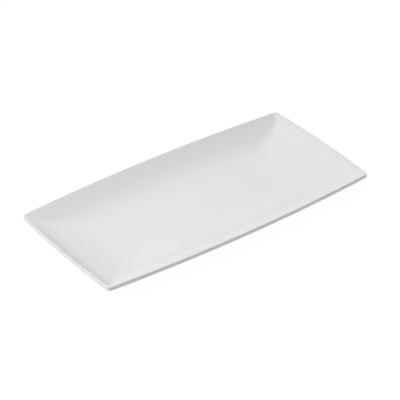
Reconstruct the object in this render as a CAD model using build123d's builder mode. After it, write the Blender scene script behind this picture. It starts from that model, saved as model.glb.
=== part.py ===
from build123d import *
import os
from dataclasses import dataclass
from math import asin, cos, degrees, radians, sin, sqrt

# A rectangular china serving platter. Four walls rise in one concave sweep from a flat well floor
# to a square-edged rim, and meet each other in crisp mitre creases. It stands on a low foot ring.
# The fired clay and the glass coat over it are separate solids. The coat stops just above the
# ground edge that the platter stands on, so the recess inside the foot ring has its own coat.
# Origin: middle of the standing plane. +X along the length, +Y across, +Z up. Millimetres.

# Overall size of the glazed platter
LENGTH = 355.6
WIDTH = 177.8
HEIGHT = 24.5
WELL_DEPTH = 16.0

# Plan: how far each side bows outwards between its two corners, and the softening of the corners
LONG_SIDE_BOW = 7.4
SHORT_SIDE_BOW = 2.7
CORNER_RADIUS = 8.0
CORNER_OUTSET = 1.2

# Thickness of the glazed wall, and of the glaze on each face of it
WALL = 4.5
GLAZE = 0.3

# Rim: rounding of its outer edges, how far in its flat top reaches, and the blend into the well
RIM_EDGE_RADIUS = 0.8
RIM_TOP = 1.0
RIM_BLEND_RADIUS = 0.8

# Section of the walls: slope at the rim, slope where the upper sweep hands over to the lower
# one, and how far in from the rim that is. The lower sweep runs out into the floor.
LONG_WALL_RIM_ANGLE = 24.5
LONG_WALL_TURN_ANGLE = 21.5
LONG_WALL_UPPER_RUN = 17.0
SHORT_WALL_RIM_ANGLE = 29.0
SHORT_WALL_TURN_ANGLE = 13.0
SHORT_WALL_UPPER_RUN = 22.0
FLOOR_ANGLE = 2.0

# Foot ring: outline of its standing edge, and its section
FOOT_LENGTH = 222.0
FOOT_WIDTH = 88.0
FOOT_LONG_BOW = 3.0
FOOT_SHORT_BOW = 1.0
FOOT_CORNER_RADIUS = 14.0
FOOT_EDGE_WIDTH = 3.2
FOOT_EDGE_ROUNDING = 0.6
FOOT_FLANK_ANGLE = 14.0
FOOT_BARE_HEIGHT = 1.0

# The foot ring is rooted inside the floor's clay
FLOOR_TOP = HEIGHT - WELL_DEPTH
FOOT_ROOT = FLOOR_TOP - WALL / 3

# Blanks and cutting tools reach this far past the platter
CLEARANCE = 10.0


def bow_radius(half_chord, bow):
    """Radius of the arc that rises by bow over a chord of twice half_chord."""
    return (half_chord**2 + bow**2) / (2 * bow)


@dataclass
class Wall:
    """One side wall: a section turned about a far vertical axis, which makes its side an arc.

    The section is drawn over s, the distance in from the rim's outermost line, and the height.
    Its lines are drawn at a depth under the glaze's surface: 0 is the glaze, GLAZE is the clay.
    """

    facing: float
    reach: float
    bow_radius: float
    rim_angle: float
    turn_angle: float
    upper_run: float

    def axis(self):
        outward = Vector(1, 0, 0).rotate(Axis.Z, self.facing)
        return Axis(outward * (self.reach - self.bow_radius), (0, 0, 1))

    def section_plane(self):
        """The section's plane, drawn beyond the axis, so that the seam is far from the wall."""
        outward = Vector(1, 0, 0).rotate(Axis.Z, self.facing)
        origin = outward * (self.reach - 2 * self.bow_radius)
        return Plane(origin=origin, x_dir=outward, z_dir=outward.cross(Vector(0, 0, 1)))

    def upper_sweep(self):
        """Centre and radius of the well's face where it leaves the rim."""
        rim = radians(self.rim_angle)
        radius = self.upper_run / (sin(rim) - sin(radians(self.turn_angle)))
        reach = radius + RIM_BLEND_RADIUS
        return (RIM_TOP + reach * sin(rim), HEIGHT - RIM_BLEND_RADIUS + reach * cos(rim)), radius

    def lower_sweep(self):
        """Centre and radius of the well's face where it runs out into the floor."""
        (x, y), upper = self.upper_sweep()
        rim, turn = radians(self.rim_angle), radians(self.turn_angle)
        drop = RIM_BLEND_RADIUS * (1 - cos(rim)) + upper * (cos(turn) - cos(rim))
        radius = (WELL_DEPTH - drop) / (cos(radians(FLOOR_ANGLE)) - cos(turn))
        return (x - (upper - radius) * sin(turn), y - (upper - radius) * cos(turn)), radius

    def draw_face(self, depth):
        """Draws the well's side of the wall, from the floor up to the rim's top."""
        centre, radius = self.lower_sweep()
        CenterArc(centre, radius + depth, 270 - FLOOR_ANGLE, FLOOR_ANGLE - self.turn_angle)
        centre, radius = self.upper_sweep()
        upper_size = self.turn_angle - self.rim_angle
        CenterArc(centre, radius + depth, 270 - self.turn_angle, upper_size)
        blend_centre = (RIM_TOP, HEIGHT - RIM_BLEND_RADIUS)
        CenterArc(blend_centre, RIM_BLEND_RADIUS - depth, 90 - self.rim_angle, self.rim_angle)

    def draw_back(self, depth):
        """Draws the underside of the wall from the floor out, and up the rim's edge to its top."""
        centre, radius = self.lower_sweep()
        back_radius = radius + WALL - depth
        CenterArc(centre, back_radius, 270 - FLOOR_ANGLE, FLOOR_ANGLE - self.turn_angle)
        (x, y), radius = self.upper_sweep()
        edge_reach = radius + WALL - RIM_EDGE_RADIUS
        edge_angle = degrees(asin((x - RIM_EDGE_RADIUS) / edge_reach))
        back_radius = radius + WALL - depth
        CenterArc((x, y), back_radius, 270 - self.turn_angle, self.turn_angle - edge_angle)
        edge_radius = RIM_EDGE_RADIUS - depth
        low_edge = y - sqrt(edge_reach**2 - (x - RIM_EDGE_RADIUS) ** 2)
        high_edge = HEIGHT - RIM_EDGE_RADIUS
        CenterArc((RIM_EDGE_RADIUS, low_edge), edge_radius, 270 - edge_angle, edge_angle - 90)
        Line((depth, low_edge), (depth, high_edge))
        CenterArc((RIM_EDGE_RADIUS, high_edge), edge_radius, 180, -90)


def make_walls():
    corner_x = LENGTH / 2 - SHORT_SIDE_BOW
    corner_y = WIDTH / 2 - LONG_SIDE_BOW
    long_wall = dict(
        reach=WIDTH / 2,
        bow_radius=bow_radius(corner_x, LONG_SIDE_BOW),
        rim_angle=LONG_WALL_RIM_ANGLE,
        turn_angle=LONG_WALL_TURN_ANGLE,
        upper_run=LONG_WALL_UPPER_RUN,
    )
    short_wall = dict(
        reach=LENGTH / 2,
        bow_radius=bow_radius(corner_y, SHORT_SIDE_BOW),
        rim_angle=SHORT_WALL_RIM_ANGLE,
        turn_angle=SHORT_WALL_TURN_ANGLE,
        upper_run=SHORT_WALL_UPPER_RUN,
    )
    return [
        Wall(facing=0, **short_wall),
        Wall(facing=90, **long_wall),
        Wall(facing=180, **short_wall),
        Wall(facing=270, **long_wall),
    ]


WALLS = make_walls()


def blank():
    """A block with room for the whole platter."""
    Box(
        LENGTH + CLEARANCE,
        WIDTH + CLEARANCE,
        HEIGHT + CLEARANCE,
        align=(Align.CENTER, Align.CENTER, Align.MIN),
    )


def bowed_rectangle(length, width, long_bow, short_bow, corner_radius):
    """A rectangle with four outward bowed sides and rounded corners."""
    x = length / 2
    y = width / 2
    corner_x = x - short_bow
    corner_y = y - long_bow
    with BuildSketch() as outline:
        with BuildLine():
            ThreePointArc((-corner_x, -corner_y), (0, -y), (corner_x, -corner_y))
            ThreePointArc((corner_x, -corner_y), (x, 0), (corner_x, corner_y))
            ThreePointArc((corner_x, corner_y), (0, y), (-corner_x, corner_y))
            ThreePointArc((-corner_x, corner_y), (-x, 0), (-corner_x, -corner_y))
        make_face()
        fillet(outline.vertices(), corner_radius)
    return outline.sketch


def outer_form(depth):
    """All that lies under the rim's top and above the underside, at a depth under the glaze."""
    outset = CORNER_OUTSET - depth
    outline = bowed_rectangle(
        LENGTH + 2 * outset,
        WIDTH + 2 * outset,
        LONG_SIDE_BOW,
        SHORT_SIDE_BOW,
        CORNER_RADIUS - depth,
    )
    with BuildPart() as form:
        blank()
        for wall in WALLS:
            with BuildSketch(wall.section_plane()):
                with BuildLine() as section:
                    wall.draw_back(depth)
                    floor = section.edges()[0] @ 0
                    top = HEIGHT - depth
                    Polyline(
                        (RIM_EDGE_RADIUS, top),
                        (wall.bow_radius, top),
                        (wall.bow_radius, floor.Y),
                        floor,
                    )
                make_face()
            revolve(axis=wall.axis(), mode=Mode.INTERSECT)
        with BuildSketch():
            add(outline)
        extrude(amount=HEIGHT, mode=Mode.INTERSECT)
    return form.part


def well_form(depth):
    """The open space over the well, at a depth under the glaze."""
    with BuildPart() as form:
        blank()
        for wall in WALLS:
            with BuildSketch(wall.section_plane()):
                with BuildLine() as section:
                    wall.draw_face(depth)
                    floor = section.edges()[0] @ 0
                    top = HEIGHT + CLEARANCE
                    Polyline(
                        (RIM_TOP, HEIGHT - depth),
                        (RIM_TOP, top),
                        (wall.bow_radius, top),
                        (wall.bow_radius, floor.Y),
                        floor,
                    )
                make_face()
            revolve(axis=wall.axis(), mode=Mode.INTERSECT)
    return form.part


def foot_form(inset, flank_angle):
    """A block from the standing plane up into the clay, inset from the foot ring's outer face."""
    outline = bowed_rectangle(
        FOOT_LENGTH - 2 * inset,
        FOOT_WIDTH - 2 * inset,
        FOOT_LONG_BOW,
        FOOT_SHORT_BOW,
        FOOT_CORNER_RADIUS - inset,
    )
    with BuildPart() as form:
        with BuildSketch():
            add(outline)
        extrude(amount=FOOT_ROOT, taper=flank_angle)
    return form.part


clay_outer_form = outer_form(GLAZE)
clay_well_form = well_form(GLAZE)
glazed_outer_form = outer_form(0)
glazed_well_form = well_form(0)

flank_glaze = GLAZE / cos(radians(FOOT_FLANK_ANGLE))
foot_outer_form = foot_form(0, -FOOT_FLANK_ANGLE)
foot_inner_form = foot_form(FOOT_EDGE_WIDTH, FOOT_FLANK_ANGLE)
glazed_foot_outer_form = foot_form(-flank_glaze, -FOOT_FLANK_ANGLE)
glazed_foot_inner_form = foot_form(FOOT_EDGE_WIDTH + flank_glaze, FOOT_FLANK_ANGLE)
bare_plane = Plane.XY.offset(FOOT_BARE_HEIGHT)

# The fired clay: floor, walls and rim in one
with BuildPart() as porcelain_body:
    add(clay_outer_form)
    add(clay_well_form, mode=Mode.SUBTRACT)
porcelain_body.part.label = "porcelain_body"

# The clay ring that the platter stands on. Its standing edge is ground flat and left bare.
with BuildPart() as foot_ring:
    add(foot_outer_form)
    add(foot_inner_form, mode=Mode.SUBTRACT)
    fillet(foot_ring.faces().sort_by(Axis.Z)[0].edges(), FOOT_EDGE_ROUNDING)
    add(clay_outer_form, mode=Mode.SUBTRACT)
foot_ring.part.label = "foot_ring"

# The glass coat over the well, the rim, the underside outside the foot, and the foot's outer face
with BuildPart() as glaze_coat:
    add(glazed_foot_outer_form)
    split(bisect_by=bare_plane, keep=Keep.TOP)
    add(glazed_outer_form)
    add(glazed_well_form, mode=Mode.SUBTRACT)
    add(foot_outer_form, mode=Mode.SUBTRACT)
    add(porcelain_body.part, mode=Mode.SUBTRACT)
glaze_coat.part.label = "glaze_coat"

# The open space of the glazed recess inside the foot ring
with BuildPart() as recess_space:
    add(glazed_foot_inner_form)
    add(glazed_outer_form, mode=Mode.SUBTRACT)

# The glass coat over the recess: its ceiling and the foot ring's inner face
with BuildPart() as recess_glaze:
    add(foot_inner_form)
    split(bisect_by=bare_plane, keep=Keep.TOP)
    add(clay_outer_form, mode=Mode.SUBTRACT)
    add(recess_space.part, mode=Mode.SUBTRACT)
recess_glaze.part.label = "recess_glaze"

os.makedirs("parts", exist_ok=True)
for piece in (porcelain_body, foot_ring, glaze_coat, recess_glaze):
    export_step(piece.part, f"parts/{piece.part.label}.step")
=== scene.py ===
"""A rectangular china serving platter: a white glaze over fired clay, on a bare ground foot ring.

Each piece is a closed mesh of rings round the platter. All rings have the same number of points, so each is
skinned to the next, and a piece that has a first and a last ring is capped there. A wall's section is drawn
over s, the distance in from the rim's outermost line, and the height z. Depth is how far a surface lies under
the glaze's own: 0 is the glaze and GLAZE is the clay.
"""

import math
from collections import namedtuple

import bpy
import numpy as np
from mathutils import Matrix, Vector


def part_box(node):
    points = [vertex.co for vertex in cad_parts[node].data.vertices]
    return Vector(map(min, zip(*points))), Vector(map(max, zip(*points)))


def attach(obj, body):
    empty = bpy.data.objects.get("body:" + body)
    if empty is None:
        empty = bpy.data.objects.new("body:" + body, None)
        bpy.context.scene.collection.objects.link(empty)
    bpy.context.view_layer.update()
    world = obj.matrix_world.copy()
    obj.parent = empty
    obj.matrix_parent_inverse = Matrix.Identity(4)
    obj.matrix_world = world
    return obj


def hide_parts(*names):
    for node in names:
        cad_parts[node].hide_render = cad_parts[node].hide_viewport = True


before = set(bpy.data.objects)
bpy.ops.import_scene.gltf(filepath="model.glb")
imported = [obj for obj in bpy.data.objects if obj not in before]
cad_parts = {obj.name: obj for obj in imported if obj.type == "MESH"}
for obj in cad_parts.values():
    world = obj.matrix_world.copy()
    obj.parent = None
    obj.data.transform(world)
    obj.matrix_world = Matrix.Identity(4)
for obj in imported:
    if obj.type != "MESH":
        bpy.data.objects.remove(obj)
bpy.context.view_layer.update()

MM = 0.001


# ---------------------------------------------------------------- dimensions

COAT_LOW, COAT_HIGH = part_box("glaze_coat")
LENGTH = COAT_HIGH.x - COAT_LOW.x
WIDTH = COAT_HIGH.y - COAT_LOW.y
HEIGHT = COAT_HIGH.z
WELL_DEPTH = 16.0 * MM
FLOOR_TOP = HEIGHT - WELL_DEPTH

# How far each side bows outwards in plan between its two corners
LONG_SIDE_BOW = 7.4 * MM
SHORT_SIDE_BOW = 2.7 * MM

WALL = 4.5 * MM
GLAZE = 0.3 * MM

# Rim: rounding of its outer edges, how far in its flat top reaches, and the blend into the well
EDGE_RADIUS = 0.8 * MM
RIM_TOP = 1.0 * MM
BLEND_RADIUS = 0.8 * MM

# Section of the walls: slope at the rim, slope where the upper sweep hands over to the lower one, and how
# far in from the rim that is
LONG_SECTION = dict(rim_angle=24.5, turn_angle=21.5, upper_run=17.0 * MM)
SHORT_SECTION = dict(rim_angle=29.0, turn_angle=13.0, upper_run=22.0 * MM)

# Corner radii in plan: of the rim's outer edge, of its crest, and of the floor, inside and underneath.
# They grow on the way down with a power of the drop, so the mitres are crisp at the rim and fade below.
OUTER_CORNER = 4.6 * MM
CREST_CORNER = 2.8 * MM
FLOOR_CORNER = 14.0 * MM
BACK_CORNER = 24.0 * MM
FLOOR_CORNER_POWER = 2.0
BACK_CORNER_POWER = 1.5
MITRE_SOFTNESS = 0.15 * MM

# Foot ring: outline of its standing edge, and its section
FOOT_LENGTH = 222.0 * MM
FOOT_WIDTH = 88.0 * MM
FOOT_LONG_BOW = 3.0 * MM
FOOT_SHORT_BOW = 1.0 * MM
FOOT_CORNER = 14.0 * MM
FOOT_EDGE_WIDTH = 3.2 * MM
FOOT_EDGE_ROUNDING = 0.6 * MM
FOOT_LEAN = math.radians(14.0)
FOOT_SLOPE = math.tan(FOOT_LEAN)
BARE_HEIGHT = 1.0 * MM

# Glaze on the foot: reach of the cove at its root, and height of the rounding where the coat ends
COVE_REACH = 1.8 * MM
LIP_HEIGHT = 0.28 * MM

# The underside's rings are level until they are LEVEL_RISE over the highest point that the underside has
# LEVEL_REACH out from the foot. From there inwards they go over to the foot's outline.
LEVEL_REACH = 10.0 * MM
LEVEL_RISE = 0.9 * MM

# Points along a quarter of a ring: the half of its short side, its corner, the half of its long side.
# A side's points close up towards its corner with a power of the way along.
SHORT_POINTS = 20
CORNER_POINTS = 12
LONG_POINTS = 34
GRADING = 1.7

# The two surfaces that the pieces are made of, and how many rings each has down the well, down the
# underside, in to the foot, and over the recess. The clay is covered, so it has fewer.
Surface = namedtuple("Surface", "depth well back approach recess")
GLAZE_FACE = Surface(depth=0.0, well=56, back=26, approach=16, recess=14)
CLAY_FACE = Surface(depth=GLAZE, well=20, back=10, approach=6, recess=10)

# Rings over the other stretches: the rim's inner blend, the well's floor, each rounding of the rim's outer
# edge, the glaze's cove, face and lip on the foot's flank, the clay under them, and the standing edge
BLEND_STEPS = 8
FLOOR_STEPS = 8
EDGE_STEPS = 7
COVE_STEPS = 6
FLANK_STEPS = 4
LIP_STEPS = 4
CLAY_FLANK_STEPS = 3
STANDING_EDGE_STEPS = 6

# Where the rings on the rim's outer face lie, as shares of the way down it
OUTER_FACE_RINGS = (0.33, 0.67, 1.0)

# The rings across a floor draw in by this share of its half width, to a narrow ridge that a cap closes
RIDGE_SHARE = 0.97

# Samples along a wall's face, to space its rings evenly
FACE_SAMPLES = 4000


# ---------------------------------------------------------------- sides and walls


class Side:
    """One side of an outline: an arc in plan, whose centre lies far across the platter."""

    def __init__(self, reach, half_chord, bow):
        self.bow_radius = (half_chord**2 + bow**2) / (2 * bow)
        self.centre = reach - self.bow_radius


class Wall(Side):
    """One side of the platter with its section. Each sweep of the well's face is an s, a z and a radius."""

    def __init__(self, reach, half_chord, bow, rim_angle, turn_angle, upper_run):
        super().__init__(reach, half_chord, bow)
        self.rim = math.radians(rim_angle)
        self.turn = math.radians(turn_angle)

        # The upper sweep leaves the rim's blend at the rim's slope
        radius = upper_run / (math.sin(self.rim) - math.sin(self.turn))
        s = RIM_TOP + (radius + BLEND_RADIUS) * math.sin(self.rim)
        z = HEIGHT - BLEND_RADIUS + (radius + BLEND_RADIUS) * math.cos(self.rim)
        self.upper = s, z, radius

        # The lower sweep takes over at the turn's slope, and runs out level into the floor
        blend_drop = BLEND_RADIUS * (1 - math.cos(self.rim))
        upper_drop = radius * (math.cos(self.turn) - math.cos(self.rim))
        lower_radius = (WELL_DEPTH - blend_drop - upper_drop) / (1 - math.cos(self.turn))
        shift = radius - lower_radius
        self.lower = s - shift * math.sin(self.turn), z - shift * math.cos(self.turn), lower_radius

        # Where the rim's lower outer rounding runs out into the underside
        edge_reach = radius + WALL - EDGE_RADIUS
        self.edge_angle = math.asin((s - EDGE_RADIUS) / edge_reach)
        self.edge_low = z - edge_reach * math.cos(self.edge_angle)

    def face_s(self, z, depth):
        """How far in the well's face is at height z."""
        blend_z = HEIGHT - BLEND_RADIUS
        blend_radius = BLEND_RADIUS - depth
        if z >= blend_z + blend_radius * math.cos(self.rim):
            return RIM_TOP + math.sqrt(max(blend_radius**2 - (z - blend_z) ** 2, 0.0))
        centre_s, centre_z, radius = self.upper
        if z < centre_z - (radius + depth) * math.cos(self.turn):
            centre_s, centre_z, radius = self.lower
        return centre_s - math.sqrt(max((radius + depth) ** 2 - (centre_z - z) ** 2, 0.0))

    def back_s(self, z, depth):
        """How far in the underside is at height z."""
        thickness = WALL - depth
        centre_s, centre_z, radius = self.upper
        if z < centre_z - (radius + thickness) * math.cos(self.turn):
            centre_s, centre_z, radius = self.lower
        return centre_s - math.sqrt(max((radius + thickness) ** 2 - (centre_z - z) ** 2, 0.0))

    def back_z(self, s, depth):
        """The underside's heights at an array of distances in. It is level past the lower sweep."""
        centre_s, centre_z, radius = self.upper
        reach = radius + WALL - depth
        turn_s = centre_s - reach * math.sin(self.turn)
        high = centre_z - np.sqrt(np.maximum(reach**2 - (centre_s - s) ** 2, 0.0))
        centre_s, centre_z, radius = self.lower
        reach = radius + WALL - depth
        low = centre_z - np.sqrt(np.maximum(reach**2 - np.maximum(centre_s - s, 0.0) ** 2, 0.0))
        return np.where(s < turn_s, high, low)

    def edge_point(self, t, depth):
        """A point of the rim's lower outer rounding, from its outer face, at 0, to the underside, at 1."""
        angle = (math.pi / 2 - self.edge_angle) * t
        radius = EDGE_RADIUS - depth
        return EDGE_RADIUS - radius * math.cos(angle), self.edge_low - radius * math.sin(angle)


CORNER_X = LENGTH / 2 - SHORT_SIDE_BOW
CORNER_Y = WIDTH / 2 - LONG_SIDE_BOW
LONG = Wall(WIDTH / 2, CORNER_X, LONG_SIDE_BOW, **LONG_SECTION)
SHORT = Wall(LENGTH / 2, CORNER_Y, SHORT_SIDE_BOW, **SHORT_SECTION)
FOOT_LONG = Side(FOOT_WIDTH / 2, FOOT_LENGTH / 2 - FOOT_SHORT_BOW, FOOT_LONG_BOW)
FOOT_SHORT = Side(FOOT_LENGTH / 2, FOOT_WIDTH / 2 - FOOT_LONG_BOW, FOOT_SHORT_BOW)


# ---------------------------------------------------------------- rings


def steps(count):
    """Even steps up to 1, without the 0 that they start from."""
    return np.linspace(0, 1, count + 1)[1:]


def graded(count):
    """Steps from 0 to 1 that close up towards 1, for a side's points towards its corner."""
    return 1 - (1 - np.linspace(0, 1, count + 1)) ** GRADING


def arc(centre, radius, angles):
    """Points in plan on a circle."""
    return centre + radius * np.column_stack([np.cos(angles), np.sin(angles)])


def quarter(long, short, s_long, s_short, radius):
    """A quarter ring in plan, from the middle of the short side round to the middle of the long one.

    It lies s_long and s_short in from the two sides, and its corner is rounded. Also gives how far round
    the corner each point is: 0 on the short side and 1 on the long one.
    """
    long_centre = np.array([0.0, long.centre])
    short_centre = np.array([short.centre, 0.0])
    long_reach = long.bow_radius - s_long - radius
    short_reach = short.bow_radius - s_short - radius

    # The corner's centre is where circles of those two reaches about the sides' centres cross
    gap = short_centre - long_centre
    distance = math.hypot(*gap)
    unit = gap / distance
    across = np.array([unit[1], -unit[0]])
    along = (distance**2 + long_reach**2 - short_reach**2) / (2 * distance)
    off = math.sqrt(max(long_reach**2 - along**2, 0.0))
    middle = long_centre + along * unit
    centre = max(middle + off * across, middle - off * across, key=sum)

    short_end = math.atan2(*(centre - short_centre)[::-1])
    long_end = math.atan2(*(centre - long_centre)[::-1])
    long_middle = math.pi / 2
    short_side = arc(short_centre, short_reach + radius, short_end * graded(SHORT_POINTS))
    corner = arc(centre, radius, short_end + (long_end - short_end) * steps(CORNER_POINTS))
    long_angles = long_middle + (long_end - long_middle) * graded(LONG_POINTS)
    long_side = arc(long_centre, long_reach + radius, long_angles[::-1][1:])
    share = np.concatenate([np.zeros(SHORT_POINTS + 1), steps(CORNER_POINTS), np.ones(LONG_POINTS)])
    return np.concatenate([short_side, corner, long_side]), share


def whole(points):
    """The closed ring made of a quarter and its three mirror images."""
    left = points[::-1][1:].copy()
    left[:, 0] *= -1
    half = np.concatenate([points, left])
    front = half[::-1][1:-1].copy()
    front[:, 1] *= -1
    return np.concatenate([half, front])


def flat(plan, z):
    """Points in plan, put at one height."""
    return np.column_stack([plan, np.full(len(plan), z)])


def ring(long_point, short_point, radius):
    """A ring through a point of each wall's section, s and z. Its height changes over round the corner."""
    s_long, z_long = long_point
    s_short, z_short = short_point
    plan, share = quarter(LONG, SHORT, s_long, s_short, radius)
    blend = share * share * (3 - 2 * share)
    return whole(np.column_stack([plan, z_short + (z_long - z_short) * blend]))


def edge_ring(s, z):
    """A ring on the rim, the same on all walls, that keeps to the outer corner's centre."""
    return ring((s, z), (s, z), OUTER_CORNER - s)


def face_ring(face, z, depth, radius):
    """A level ring on the walls. face is Wall.face_s or Wall.back_s."""
    return ring((face(LONG, z, depth), z), (face(SHORT, z, depth), z), radius)


def levels(face, depth, high, low, count):
    """Heights from high down to low, evenly spaced along the walls' faces, without the first.

    The samples are closer together towards low, where the faces flatten out.
    """
    z = high + (low - high) * (1 - (1 - np.linspace(0, 1, FACE_SAMPLES)) ** 2)
    s = np.array([[face(LONG, v, depth), face(SHORT, v, depth)] for v in z])
    travel = np.cumsum(np.sqrt((np.diff(s, axis=0) ** 2).sum(1) + np.diff(z) ** 2))
    travel = np.concatenate([[0], travel])
    return np.interp(travel[-1] * steps(count), travel, z)


def side_distance(x, y, long, short):
    """How far in from the long and the short sides points in plan are."""
    s_long = long.bow_radius - np.hypot(x, np.abs(y) - long.centre)
    s_short = short.bow_radius - np.hypot(np.abs(x) - short.centre, y)
    return s_long, s_short


def underside_z(points, depth):
    """Height of the underside over points in plan: the higher of its walls', softened at the mitres."""
    s_long, s_short = side_distance(points[:, 0], points[:, 1], LONG, SHORT)
    a, b = LONG.back_z(s_long, depth), SHORT.back_z(s_short, depth)
    return (a + b + np.sqrt((a - b) ** 2 + MITRE_SOFTNESS**2)) / 2 - MITRE_SOFTNESS / 2


def under(plan, depth, lift=0.0):
    """Points in plan, put on the underside."""
    return np.column_stack([plan, underside_z(plan, depth) + lift])


# ---------------------------------------------------------------- foot


def foot_plan(inset):
    """The foot ring's outline, moved in by inset, as a ring's points in plan."""
    plan, _ = quarter(FOOT_LONG, FOOT_SHORT, inset, inset, FOOT_CORNER - inset)
    return whole(plan)


def flank_inset(z, outward, coat):
    """Inset of the foot's outer or inner face at height z, under a coat of glaze."""
    lean = z * FOOT_SLOPE + coat * math.hypot(1.0, FOOT_SLOPE)
    return -lean if outward else FOOT_EDGE_WIDTH + lean


def flank_ring(z, outward, coat):
    """A ring on the foot's flank, at the heights given for its points."""
    return np.column_stack([foot_plan(flank_inset(float(np.mean(z)), outward, coat)), z])


def root_ring(depth, outward, reach=0.0):
    """Where the underside meets the foot's flank, or that reach before it."""
    coat = GLAZE - depth
    z = float(underside_z(foot_plan(flank_inset(0.0, outward, coat)), depth).mean())
    inset = flank_inset(z, outward, coat) + (-reach if outward else reach)
    return under(foot_plan(inset), depth)


def glazed_flank(outward):
    """From the cove of pooled glaze at the foot's root down to the coat's rounded end."""
    start = root_ring(0.0, outward, COVE_REACH)
    corner = root_ring(0.0, outward)
    end_z = corner[:, 2] - COVE_REACH
    end = flank_ring(end_z, outward, GLAZE)
    lip_top = BARE_HEIGHT + LIP_HEIGHT
    rings = []
    for t in steps(COVE_STEPS):
        rings.append((1 - t) ** 2 * start + 2 * t * (1 - t) * corner + t**2 * end)
    for t in steps(FLANK_STEPS):
        rings.append(flank_ring(end_z + (lip_top - end_z) * t, outward, GLAZE))
    for angle in steps(LIP_STEPS) * math.pi / 2:
        z = np.full(len(start), lip_top - LIP_HEIGHT * math.sin(angle))
        rings.append(flank_ring(z, outward, GLAZE * math.cos(angle)))
    return rings


def clay_flank(outward):
    """The clay flank under the glaze, from where the glaze ends up to the foot's root."""
    root = root_ring(GLAZE, outward)
    rings = []
    for t in steps(CLAY_FLANK_STEPS)[:-1]:
        rings.append(flank_ring(BARE_HEIGHT + (root[:, 2] - BARE_HEIGHT) * t, outward, 0.0))
    return rings + [root]


def standing_edge(outward):
    """The rounding between one of the foot's flanks and the plane that it stands on."""
    inwards = 1 if outward else -1
    centre = FOOT_EDGE_ROUNDING * math.tan((math.pi / 2 - FOOT_LEAN) / 2)
    rings = []
    for angle in np.linspace(-FOOT_LEAN, math.pi / 2, STANDING_EDGE_STEPS + 1):
        from_flank = centre - FOOT_EDGE_ROUNDING * math.cos(angle)
        plan = foot_plan(flank_inset(0.0, outward, 0.0) + inwards * from_flank)
        rings.append(flat(plan, FOOT_EDGE_ROUNDING * (1 - math.sin(angle))))
    return rings


# ---------------------------------------------------------------- well, rim and underside


def grown_corner(z, first, last, drop, power):
    """A corner radius at height z that grows from first, at the rim, to last, that drop below it."""
    t = min(max((HEIGHT - z) / drop, 0.0), 1.0)
    return first + (last - first) * t**power


def face_corner(z, depth):
    """Corner radius of the well's face at height z."""
    return grown_corner(z, CREST_CORNER, FLOOR_CORNER, WELL_DEPTH, FLOOR_CORNER_POWER) + depth


def back_corner(z):
    """Corner radius of the underside at height z."""
    return grown_corner(z, OUTER_CORNER, BACK_CORNER, WELL_DEPTH + WALL, BACK_CORNER_POWER)


def closing_rings(last, count):
    """Level rings from the last one given inwards to a short ridge in the middle."""
    half_length, half_width = np.abs(last).max(0)[:2]
    rings = []
    for t in steps(count):
        cut = RIDGE_SHARE * half_width * t
        rings.append(last * [1 - cut / half_length, 1 - cut / half_width, 1])
    return rings


def well_rings(surface):
    """From the rim's flat top over its inner blend, down the well's faces, to the middle of the floor."""
    depth = surface.depth
    rings = [edge_ring(s, HEIGHT - depth) for s in (EDGE_RADIUS, (EDGE_RADIUS + RIM_TOP) / 2)]

    blend_radius = BLEND_RADIUS - depth
    blend_end = HEIGHT - BLEND_RADIUS + blend_radius * math.cos(LONG.rim)
    first_corner = OUTER_CORNER - RIM_TOP
    last_corner = face_corner(blend_end, depth)
    for t in np.linspace(0, 1, BLEND_STEPS + 1):
        z = HEIGHT - BLEND_RADIUS + blend_radius * math.cos(LONG.rim * t)
        rings.append(face_ring(Wall.face_s, z, depth, first_corner + (last_corner - first_corner) * t))

    for z in levels(Wall.face_s, depth, blend_end, FLOOR_TOP - depth, surface.well):
        rings.append(face_ring(Wall.face_s, z, depth, face_corner(z, depth)))
    return rings + closing_rings(rings[-1], FLOOR_STEPS)


def edge_rings(depth):
    """From the rim's flat top round its upper edge, down its outer face, and round its lower edge."""
    high, low = HEIGHT - EDGE_RADIUS, LONG.edge_low
    radius = EDGE_RADIUS - depth
    rings = []
    for angle in steps(EDGE_STEPS) * math.pi / 2:
        rings.append(edge_ring(EDGE_RADIUS - radius * math.sin(angle), high + radius * math.cos(angle)))
    for t in OUTER_FACE_RINGS:
        rings.append(edge_ring(depth, high + (low - high) * t))
    for t in steps(EDGE_STEPS):
        long_point, short_point = LONG.edge_point(t, depth), SHORT.edge_point(t, depth)
        middle_s = (long_point[0] + short_point[0]) / 2
        rings.append(ring(long_point, short_point, OUTER_CORNER - middle_s))
    return rings


def underside_rings(surface):
    """Level rings down the underside's sloping faces."""
    depth = surface.depth
    high = min(LONG.edge_low, SHORT.edge_low) - EDGE_RADIUS
    low = underside_z(foot_plan(-LEVEL_REACH), 0.0).max() + LEVEL_RISE + depth
    rings = []
    for z in levels(Wall.back_s, depth, high, low, surface.back):
        rings.append(face_ring(Wall.back_s, z, depth, back_corner(z)))
    return rings


def approach_rings(start, surface, reach):
    """Rings along the underside, from the level one given in to the foot, or to that reach before it."""
    target = root_ring(surface.depth, True, reach)[:, :2]
    gap = start[:, 2] - underside_z(start, surface.depth)
    rings = []
    for t in steps(surface.approach):
        plan = start[:, :2] + (target - start[:, :2]) * t
        rings.append(under(plan, surface.depth, gap * (1 - t) ** 2))
    return rings


def outside_rings(surface, reach):
    """From the middle of the well's floor, over the rim, and along the underside in to the foot."""
    rings = well_rings(surface)[::-1] + edge_rings(surface.depth) + underside_rings(surface)
    return rings + approach_rings(rings[-1], surface, reach)


def recess_rings(start, surface):
    """From the ring given, inside the foot, along the underside to a short ridge in the middle."""
    gap = start[:, 2] - underside_z(start, surface.depth)
    rings = []
    for level, t in zip(closing_rings(start, surface.recess), steps(surface.recess)):
        rings.append(under(level[:, :2], surface.depth, gap * (1 - t) ** 2))
    return rings


# ---------------------------------------------------------------- meshes


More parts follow.
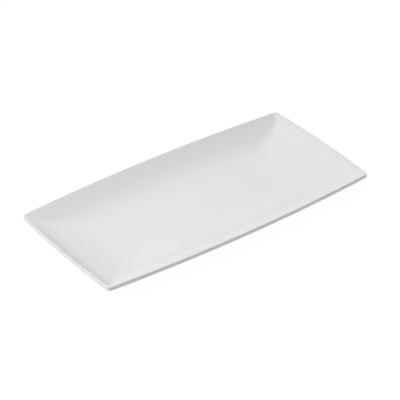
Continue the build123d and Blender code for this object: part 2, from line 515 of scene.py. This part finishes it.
def skin(rings, closed=False):
    """Vertices and quads that join the rings in order, and the last to the first if closed."""
    count = len(rings[0])
    i = np.arange(count)
    j = (i + 1) % count
    pairs = list(zip(range(len(rings) - 1), range(1, len(rings))))
    if closed:
        pairs.append((len(rings) - 1, 0))
    faces = []
    for a, b in pairs:
        faces += np.column_stack([a * count + i, b * count + i, b * count + j, a * count + j]).tolist()
    return np.concatenate(rings), faces


def cap(rings, index):
    """Faces across one of the rings, between its points and their mirror images over the X axis."""
    count = len(rings[0])
    half = count // 2
    faces = [[0, 1, count - 1], [half - 1, half, half + 1]]
    faces += [[k, k + 1, count - k - 1, count - k] for k in range(1, half - 1)]
    return [[index * count + k for k in face] for face in faces]


def capped(rings):
    """The closed form that runs from the cap on its first ring to the cap on its last."""
    vertices, faces = skin(rings)
    last_cap = [face[::-1] for face in cap(rings, len(rings) - 1)]
    return vertices, faces + cap(rings, 0) + last_cap


def signed_volume(vertices, faces):
    """Volume of a closed form: above zero where its faces look outwards."""
    triangles = [face[:3] for face in faces] + [[face[0], *face[2:]] for face in faces if len(face) == 4]
    a, b, c = vertices[np.array(triangles).T]
    return float((a * np.cross(b, c)).sum()) / 6


def add_piece(name, form, node, slot, material, **attributes):
    """Makes a mesh piece. Each attribute is a function of its vertices that gives a value at each."""
    vertices, faces = form
    if signed_volume(vertices, faces) < 0:
        faces = [face[::-1] for face in faces]
    mesh = bpy.data.meshes.new(name)
    mesh.from_pydata(vertices.tolist(), [], faces)
    mesh.polygons.foreach_set("use_smooth", [True] * len(mesh.polygons))
    for key, values_of in attributes.items():
        values = np.clip(values_of(vertices), 0, 1).astype(np.float32)
        mesh.attributes.new(key, "FLOAT", "POINT").data.foreach_set("value", values)
    mesh.update()
    piece = bpy.data.objects.new(name, mesh)
    bpy.context.scene.collection.objects.link(piece)
    mesh.materials.append(material)
    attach(piece, "root")
    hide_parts(node)


def make_glaze_coat():
    """The coat's outer surface, its rounded end on the foot, and its inner surface on the clay."""
    rings = outside_rings(GLAZE_FACE, COVE_REACH) + glazed_flank(True) + clay_flank(True)
    clay = outside_rings(CLAY_FACE, 0.0)[:-1]
    return capped(rings + clay[::-1])


def make_recess_glaze():
    """The coat inside the foot: its own surface, its rounded end on the foot, and its surface on the clay."""
    start = root_ring(0.0, False, COVE_REACH)
    rings = recess_rings(start, GLAZE_FACE)[::-1] + [start] + glazed_flank(False) + clay_flank(False)
    return capped(rings + recess_rings(rings[-1], CLAY_FACE))


def make_clay():
    """The clay of the floor, the walls and the rim."""
    inside_foot = root_ring(GLAZE, False)
    return capped(outside_rings(CLAY_FACE, 0.0) + [inside_foot] + recess_rings(inside_foot, CLAY_FACE))


def make_foot():
    """The foot's clay, from its root down to the rounded, ground standing edge and back up."""
    rings = [root_ring(GLAZE, True)] + standing_edge(True)
    rings.append(flat(foot_plan(FOOT_EDGE_WIDTH / 2), 0.0))
    rings += standing_edge(False)[::-1] + [root_ring(GLAZE, False)]
    return skin(rings, closed=True)


# ---------------------------------------------------------------- how the glaze lies

# Thinning: how far in from its two faces the middle of a rounded edge lies, and how far down that of the
# lower edge, then the thinning's reach on an edge, its strength on the crest, and its reach at the coat's end
EDGE_MIDDLE = 0.25 * MM
LOW_EDGE_DROP = 0.5 * MM
EDGE_THINNING = 0.8 * MM
CREST_THINNING = 0.5
END_THINNING = 0.5 * MM

# Pooled glaze in the mitres, made darker there as painted shade as well: its strength, how far under the
# crest and over the floor it starts, and how soon it is full
MITRE_POOL_AND_SHADE = 0.6
MITRE_BELOW_CREST = 1.5 * MM
MITRE_ABOVE_FLOOR = 0.5 * MM
MITRE_FADE = 4.0 * MM

# Pooled glaze in the cove round the foot, made darker there as painted shade as well: the height over which
# it is full, its reach, and how far under the well's floor it ends
COVE_HEIGHT = 4.5 * MM
COVE_POOL_AND_SHADE_REACH = 1.3 * MM
COVE_BELOW_FLOOR = 2.0 * MM

# Thick glaze: how far over the floor it starts to fade out, and the height that this takes
DEEP_ABOVE_FLOOR = 0.3 * MM
DEEP_FADE = 5.0 * MM


def bell(distance, width):
    """A soft spot: 1 at no distance, falling away over the width."""
    return np.exp(-((distance / width) ** 2))


def glaze_thin(vertices):
    """Where the glaze has drawn thin: the rim's outer edges, its crest, and the coat's end on the foot."""
    x, y, z = vertices.T
    s = np.minimum(*side_distance(x, y, LONG, SHORT))
    upper_edge = bell(np.hypot(s - EDGE_MIDDLE, z - HEIGHT + EDGE_MIDDLE), EDGE_THINNING)
    lower_edge = bell(np.hypot(s - EDGE_MIDDLE, z - LONG.edge_low + LOW_EDGE_DROP), EDGE_THINNING)
    crest = CREST_THINNING * bell(np.hypot(s - RIM_TOP, z - HEIGHT), EDGE_THINNING)
    return upper_edge + lower_edge + crest + bell(z - BARE_HEIGHT, END_THINNING)


def glaze_pool_and_shade(vertices):
    """Where the glaze has run together, and where painted shade darkens these creases: the mitres, inside and
    under, and the cove round the foot.
    """
    x, y, z = vertices.T
    _, share = quarter(LONG, SHORT, 0.0, 0.0, OUTER_CORNER)
    # Mirroring only turns the sign of a point's share, and the points' shares are the same on every ring
    share = np.abs(whole(np.column_stack([share, share]))[:, 0])
    share = np.tile(share, len(vertices) // len(share))
    mitre = 4 * share * (1 - share)
    mitre *= np.clip((HEIGHT - MITRE_BELOW_CREST - z) / MITRE_FADE, 0, 1)
    mitre *= np.clip((z - FLOOR_TOP - MITRE_ABOVE_FLOOR) / MITRE_FADE, 0, 1)

    foot_s = np.minimum(*side_distance(x, y, FOOT_LONG, FOOT_SHORT))
    flank_s = np.where(foot_s < FOOT_EDGE_WIDTH / 2, -GLAZE, FOOT_EDGE_WIDTH + GLAZE)
    cove = bell(np.hypot(foot_s - flank_s, np.minimum(z - COVE_HEIGHT, 0)), COVE_POOL_AND_SHADE_REACH)
    cove *= z < FLOOR_TOP - COVE_BELOW_FLOOR
    return MITRE_POOL_AND_SHADE * mitre + cove


def glaze_deep(vertices):
    """Where the glaze lies thick: all that is as low as the well's floor, fading out up the walls."""
    return 1 - (vertices[:, 2] - FLOOR_TOP - DEEP_ABOVE_FLOOR) / DEEP_FADE


# ---------------------------------------------------------------- materials

# The glaze's tone wanders between two colours, and goes over to another where it lies deep, where it pools in
# the creases and is darker there as painted shade too, or where it is thin
GLAZE_TONES = (0.812, 0.812, 0.797), (0.824, 0.824, 0.809)
DEEP_COLOUR = (0.829, 0.829, 0.829)
# The pool colour is darker: partly the tint of pooled glaze, partly painted shade in the mitres and the
# foot's cove
POOL_AND_SHADE_COLOUR = (0.800, 0.805, 0.803)
THIN_COLOUR = (0.822, 0.818, 0.812)
GLAZE_ROUGHNESS = 0.08, 0.12
GLAZE_IOR = 1.5
GLAZE_RIPPLE = 0.02 * MM

# The clay is matt. Where the foot is ground bare, it is greyer and its grain is coarser.
FIRED_CLAY_TONES = (0.80, 0.79, 0.76), (0.86, 0.85, 0.82)
FIRED_CLAY_GRAIN = 0.03 * MM
BARE_FOOT_TONES = (0.74, 0.72, 0.68), (0.83, 0.81, 0.77)
BARE_FOOT_GRAIN = 0.06 * MM
CLAY_ROUGHNESS = 0.7, 0.9

# Most of a noise's values lie between these
NOISE_RANGE = 0.3, 0.7


def new_material(name):
    """A material, its node tree and its Principled shader."""
    material = bpy.data.materials.new(name)
    material.use_nodes = True
    tree = material.node_tree
    return material, tree, tree.nodes["Principled BSDF"]


def feed(tree, socket, value):
    """Sets a socket to a number or a colour, or links it to another node's socket."""
    if isinstance(value, bpy.types.NodeSocket):
        tree.links.new(value, socket)
    else:
        socket.default_value = (*value, 1) if isinstance(value, tuple) else value


def object_position(tree):
    return tree.nodes.new("ShaderNodeTexCoord").outputs["Object"]


def noise(tree, scale, detail=4.0, roughness=0.5):
    """A noise texture's value. Its scale is about how many lumps it has to the metre."""
    texture = tree.nodes.new("ShaderNodeTexNoise")
    texture.inputs["Scale"].default_value = scale
    texture.inputs["Detail"].default_value = detail
    texture.inputs["Roughness"].default_value = roughness
    tree.links.new(object_position(tree), texture.inputs["Vector"])
    return texture.outputs["Fac"]


def remap(tree, value, low, high, source=NOISE_RANGE):
    """A value brought from its source range to between low and high."""
    node = tree.nodes.new("ShaderNodeMapRange")
    node.inputs["From Min"].default_value, node.inputs["From Max"].default_value = source
    node.inputs["To Min"].default_value = low
    node.inputs["To Max"].default_value = high
    tree.links.new(value, node.inputs["Value"])
    return node.outputs["Result"]


def mix(tree, factor, first, second):
    """A colour that goes from first to second as the factor goes from 0 to 1."""
    node = tree.nodes.new("ShaderNodeMix")
    node.data_type = "RGBA"
    feed(tree, node.inputs["Factor"], factor)
    feed(tree, node.inputs["A"], first)
    feed(tree, node.inputs["B"], second)
    return node.outputs["Result"]


def calculate(tree, operation, *values):
    """What a Math node makes of its values."""
    node = tree.nodes.new("ShaderNodeMath")
    node.operation = operation
    for socket, value in zip(node.inputs, values):
        feed(tree, socket, value)
    return node.outputs["Value"]


def bump(tree, shader, height, distance):
    node = tree.nodes.new("ShaderNodeBump")
    node.inputs["Distance"].default_value = distance
    node.inputs["Strength"].default_value = 1.0
    tree.links.new(height, node.inputs["Height"])
    tree.links.new(node.outputs["Normal"], shader.inputs["Normal"])


def attribute(tree, name):
    """The value of one of the mesh's attributes."""
    node = tree.nodes.new("ShaderNodeAttribute")
    node.attribute_name = name
    return node.outputs["Fac"]


def glaze_material():
    """White glaze, a little uneven in tone, gloss and surface."""
    material, tree, shader = new_material("white_glaze")
    tone = remap(tree, noise(tree, scale=24.0, detail=3.0), 0.0, 1.0)
    colour = mix(tree, tone, *GLAZE_TONES)
    # Painted shade: the pool colour darkens the mitres and the cove round the foot, as well as tinting pooled
    # glaze
    for name, there in (("deep", DEEP_COLOUR), ("pool_and_shade", POOL_AND_SHADE_COLOUR), ("thin", THIN_COLOUR)):
        colour = mix(tree, attribute(tree, name), colour, there)
    tree.links.new(colour, shader.inputs["Base Color"])
    tree.links.new(remap(tree, noise(tree, scale=90.0), *GLAZE_ROUGHNESS), shader.inputs["Roughness"])
    shader.inputs["IOR"].default_value = GLAZE_IOR
    bump(tree, shader, noise(tree, scale=160.0, detail=2.0), GLAZE_RIPPLE)
    return material


def clay_material(name, tones, grain):
    """Fired clay with a fine grain."""
    material, tree, shader = new_material(name)
    speckle = noise(tree, scale=900.0, detail=6.0, roughness=0.7)
    colour = mix(tree, remap(tree, speckle, 0.0, 1.0), *tones)
    tree.links.new(colour, shader.inputs["Base Color"])
    tree.links.new(remap(tree, noise(tree, scale=500.0), *CLAY_ROUGHNESS), shader.inputs["Roughness"])
    bump(tree, shader, noise(tree, scale=2600.0, detail=5.0, roughness=0.7), grain)
    return material


# ---------------------------------------------------------------- the pieces


def make_platter():
    glaze = glaze_material()
    fired_clay = clay_material("fired_clay", FIRED_CLAY_TONES, FIRED_CLAY_GRAIN)
    bare_foot = clay_material("bare_foot", BARE_FOOT_TONES, BARE_FOOT_GRAIN)
    toning = dict(thin=glaze_thin, pool_and_shade=glaze_pool_and_shade, deep=glaze_deep)
    add_piece("platter_glaze", make_glaze_coat(), "glaze_coat", "white_glaze", glaze, **toning)
    add_piece("platter_recess_glaze", make_recess_glaze(), "recess_glaze", "white_glaze", glaze, **toning)
    add_piece("platter_clay", make_clay(), "porcelain_body", "fired_clay", fired_clay)
    add_piece("platter_foot", make_foot(), "foot_ring", "bare_foot", bare_foot)


# ---------------------------------------------------------------- floor

FLOOR_REACH = 6.0
FLOOR_GLOW = 0.96
FLOOR_GLOW_COLOUR = (1.01, 1.0, 1.015)
FLOOR_TONES = (0.055, 0.055, 0.055), (0.065, 0.065, 0.065)

# The painted shadow on the floor under the platter: the floor's colour there, how far inside the platter's
# outline it starts, and how wide its soft edge is
SHADED_COLOUR = (0.8, 0.8, 0.8)
SHADE_INSET = 24.0 * MM
SHADE_FADE = 16.0 * MM


def past_rectangle(tree, half_length, half_width):
    """How far a floor point lies outside a rectangle about the origin: below zero inside it."""
    position = tree.nodes.new("ShaderNodeSeparateXYZ")
    tree.links.new(object_position(tree), position.inputs["Vector"])
    past = []
    for axis, half in (("X", half_length), ("Y", half_width)):
        past.append(calculate(tree, "SUBTRACT", calculate(tree, "ABSOLUTE", position.outputs[axis]), half))
    return calculate(tree, "SMOOTH_MAX", *past, SHADE_FADE)


def make_floor():
    """A white sweep. It glows evenly, as a lit one does, except in a painted contact shadow under the
    platter: there the glow is cut out over a rectangle with a soft edge, and plain white floor takes the
    lamps' light and real shade.
    """
    mesh = bpy.data.meshes.new("studio_floor")
    corners = [(x * FLOOR_REACH, y * FLOOR_REACH, 0) for x, y in ((-1, -1), (1, -1), (1, 1), (-1, 1))]
    mesh.from_pydata(corners, [], [(0, 1, 2, 3)])
    floor = bpy.data.objects.new("studio_floor", mesh)
    bpy.context.scene.collection.objects.link(floor)
    material, tree, shader = new_material("studio_floor")
    # Painted shadow: the floor's glow is cut out over a rectangle under the platter, with a soft edge
    past = past_rectangle(tree, LENGTH / 2 - SHADE_INSET, WIDTH / 2 - SHADE_INSET)
    lit = remap(tree, past, 0.0, 1.0, source=(-SHADE_FADE, 0.0))
    colour = mix(tree, noise(tree, scale=3.0), *FLOOR_TONES)
    tree.links.new(mix(tree, lit, SHADED_COLOUR, colour), shader.inputs["Base Color"])
    tree.links.new(calculate(tree, "MULTIPLY", lit, FLOOR_GLOW), shader.inputs["Emission Strength"])
    shader.inputs["Emission Color"].default_value = (*FLOOR_GLOW_COLOUR, 1)
    shader.inputs["Roughness"].default_value = 1.0
    shader.inputs["Specular IOR Level"].default_value = 0.0
    material.cycles.emission_sampling = "NONE"
    mesh.materials.append(material)


# ---------------------------------------------------------------- light

# Light comes from three softboxes, from upright walls of a light tent round the back and the right, and
# from the glowing floor. Bearings are degrees round from +X, heights degrees above the floor, sizes metres.
LIGHT_DISTANCE = 2.0
TENT_TURN = 43
TENT_FOOT, TENT_TOP, TENT_ROOF = 0.18, 2.80, 3.50
TENT_WALL_WIDTH = 2 * LIGHT_DISTANCE * math.tan(math.radians(TENT_TURN / 2))
BACK_BEARING = 90 - TENT_TURN / 2
RIGHT_BEARING = BACK_BEARING - TENT_TURN


def softbox(name, bearing, height, size, radiance):
    """A soft light that faces the platter."""
    light = bpy.data.lights.new(name, "AREA")
    light.shape = "RECTANGLE"
    light.size, light.size_y = size
    light.energy = radiance * math.pi * light.size * light.size_y
    lamp = bpy.data.objects.new(name, light)
    bpy.context.scene.collection.objects.link(lamp)
    turn, rise = math.radians(bearing), math.radians(height)
    away = Vector((math.cos(turn) * math.cos(rise), math.sin(turn) * math.cos(rise), math.sin(rise)))
    lamp.location = away * LIGHT_DISTANCE
    lamp.rotation_euler = away.to_track_quat("Z", "Y").to_euler()
    return lamp


def tent_wall(name, bearing, radiance, foot=TENT_FOOT, top=TENT_TOP):
    """An upright wall of the light tent. Walls whose bearings are TENT_TURN apart meet edge to edge."""
    wall = softbox(name, bearing, height=0, size=(TENT_WALL_WIDTH, top - foot), radiance=radiance)
    wall.location.z = (top + foot) / 2


def make_lights():
    softbox("key_softbox", bearing=155, height=62, size=(1.40, 1.10), radiance=4.80)
    softbox("low_left_softbox", bearing=165, height=28, size=(1.70, 0.90), radiance=1.96)
    softbox("overhead_softbox", bearing=0, height=88, size=(1.00, 1.00), radiance=3.97)
    tent_wall("back_wall", BACK_BEARING, radiance=0.543)
    tent_wall("right_wall", RIGHT_BEARING, radiance=0.738)
    tent_wall("right_wall_top", RIGHT_BEARING, radiance=0.46, foot=TENT_TOP, top=TENT_ROOF)


def make_dark_world():
    """A world that gives no light of its own."""
    world = bpy.data.worlds.new("studio")
    world.use_nodes = True
    world.node_tree.nodes["Background"].inputs["Strength"].default_value = 0.0
    bpy.context.scene.world = world


# ---------------------------------------------------------------- camera

CAMERA_AIM = Vector((-5.13 * MM, -10.61 * MM, HEIGHT))
CAMERA_AZIMUTH = math.radians(-36.977)
CAMERA_ELEVATION = math.radians(34.513)
CAMERA_DISTANCE = 2068.1 * MM
CAMERA_LENS = 171.31
CAMERA_SENSOR = 36.0


def make_camera():
    data = bpy.data.cameras.new("camera")
    data.sensor_width = CAMERA_SENSOR
    data.lens = CAMERA_LENS
    camera = bpy.data.objects.new("camera", data)
    bpy.context.scene.collection.objects.link(camera)
    bpy.context.scene.camera = camera
    level = math.cos(CAMERA_ELEVATION)
    away = Vector(
        (
            math.sin(CAMERA_AZIMUTH) * level,
            -math.cos(CAMERA_AZIMUTH) * level,
            math.sin(CAMERA_ELEVATION),
        )
    )
    camera.location = CAMERA_AIM + away * CAMERA_DISTANCE
    camera.rotation_euler = away.to_track_quat("Z", "Y").to_euler()


make_platter()
make_floor()
make_lights()
make_dark_world()
make_camera()
bpy.context.scene.view_settings.view_transform = "Standard"
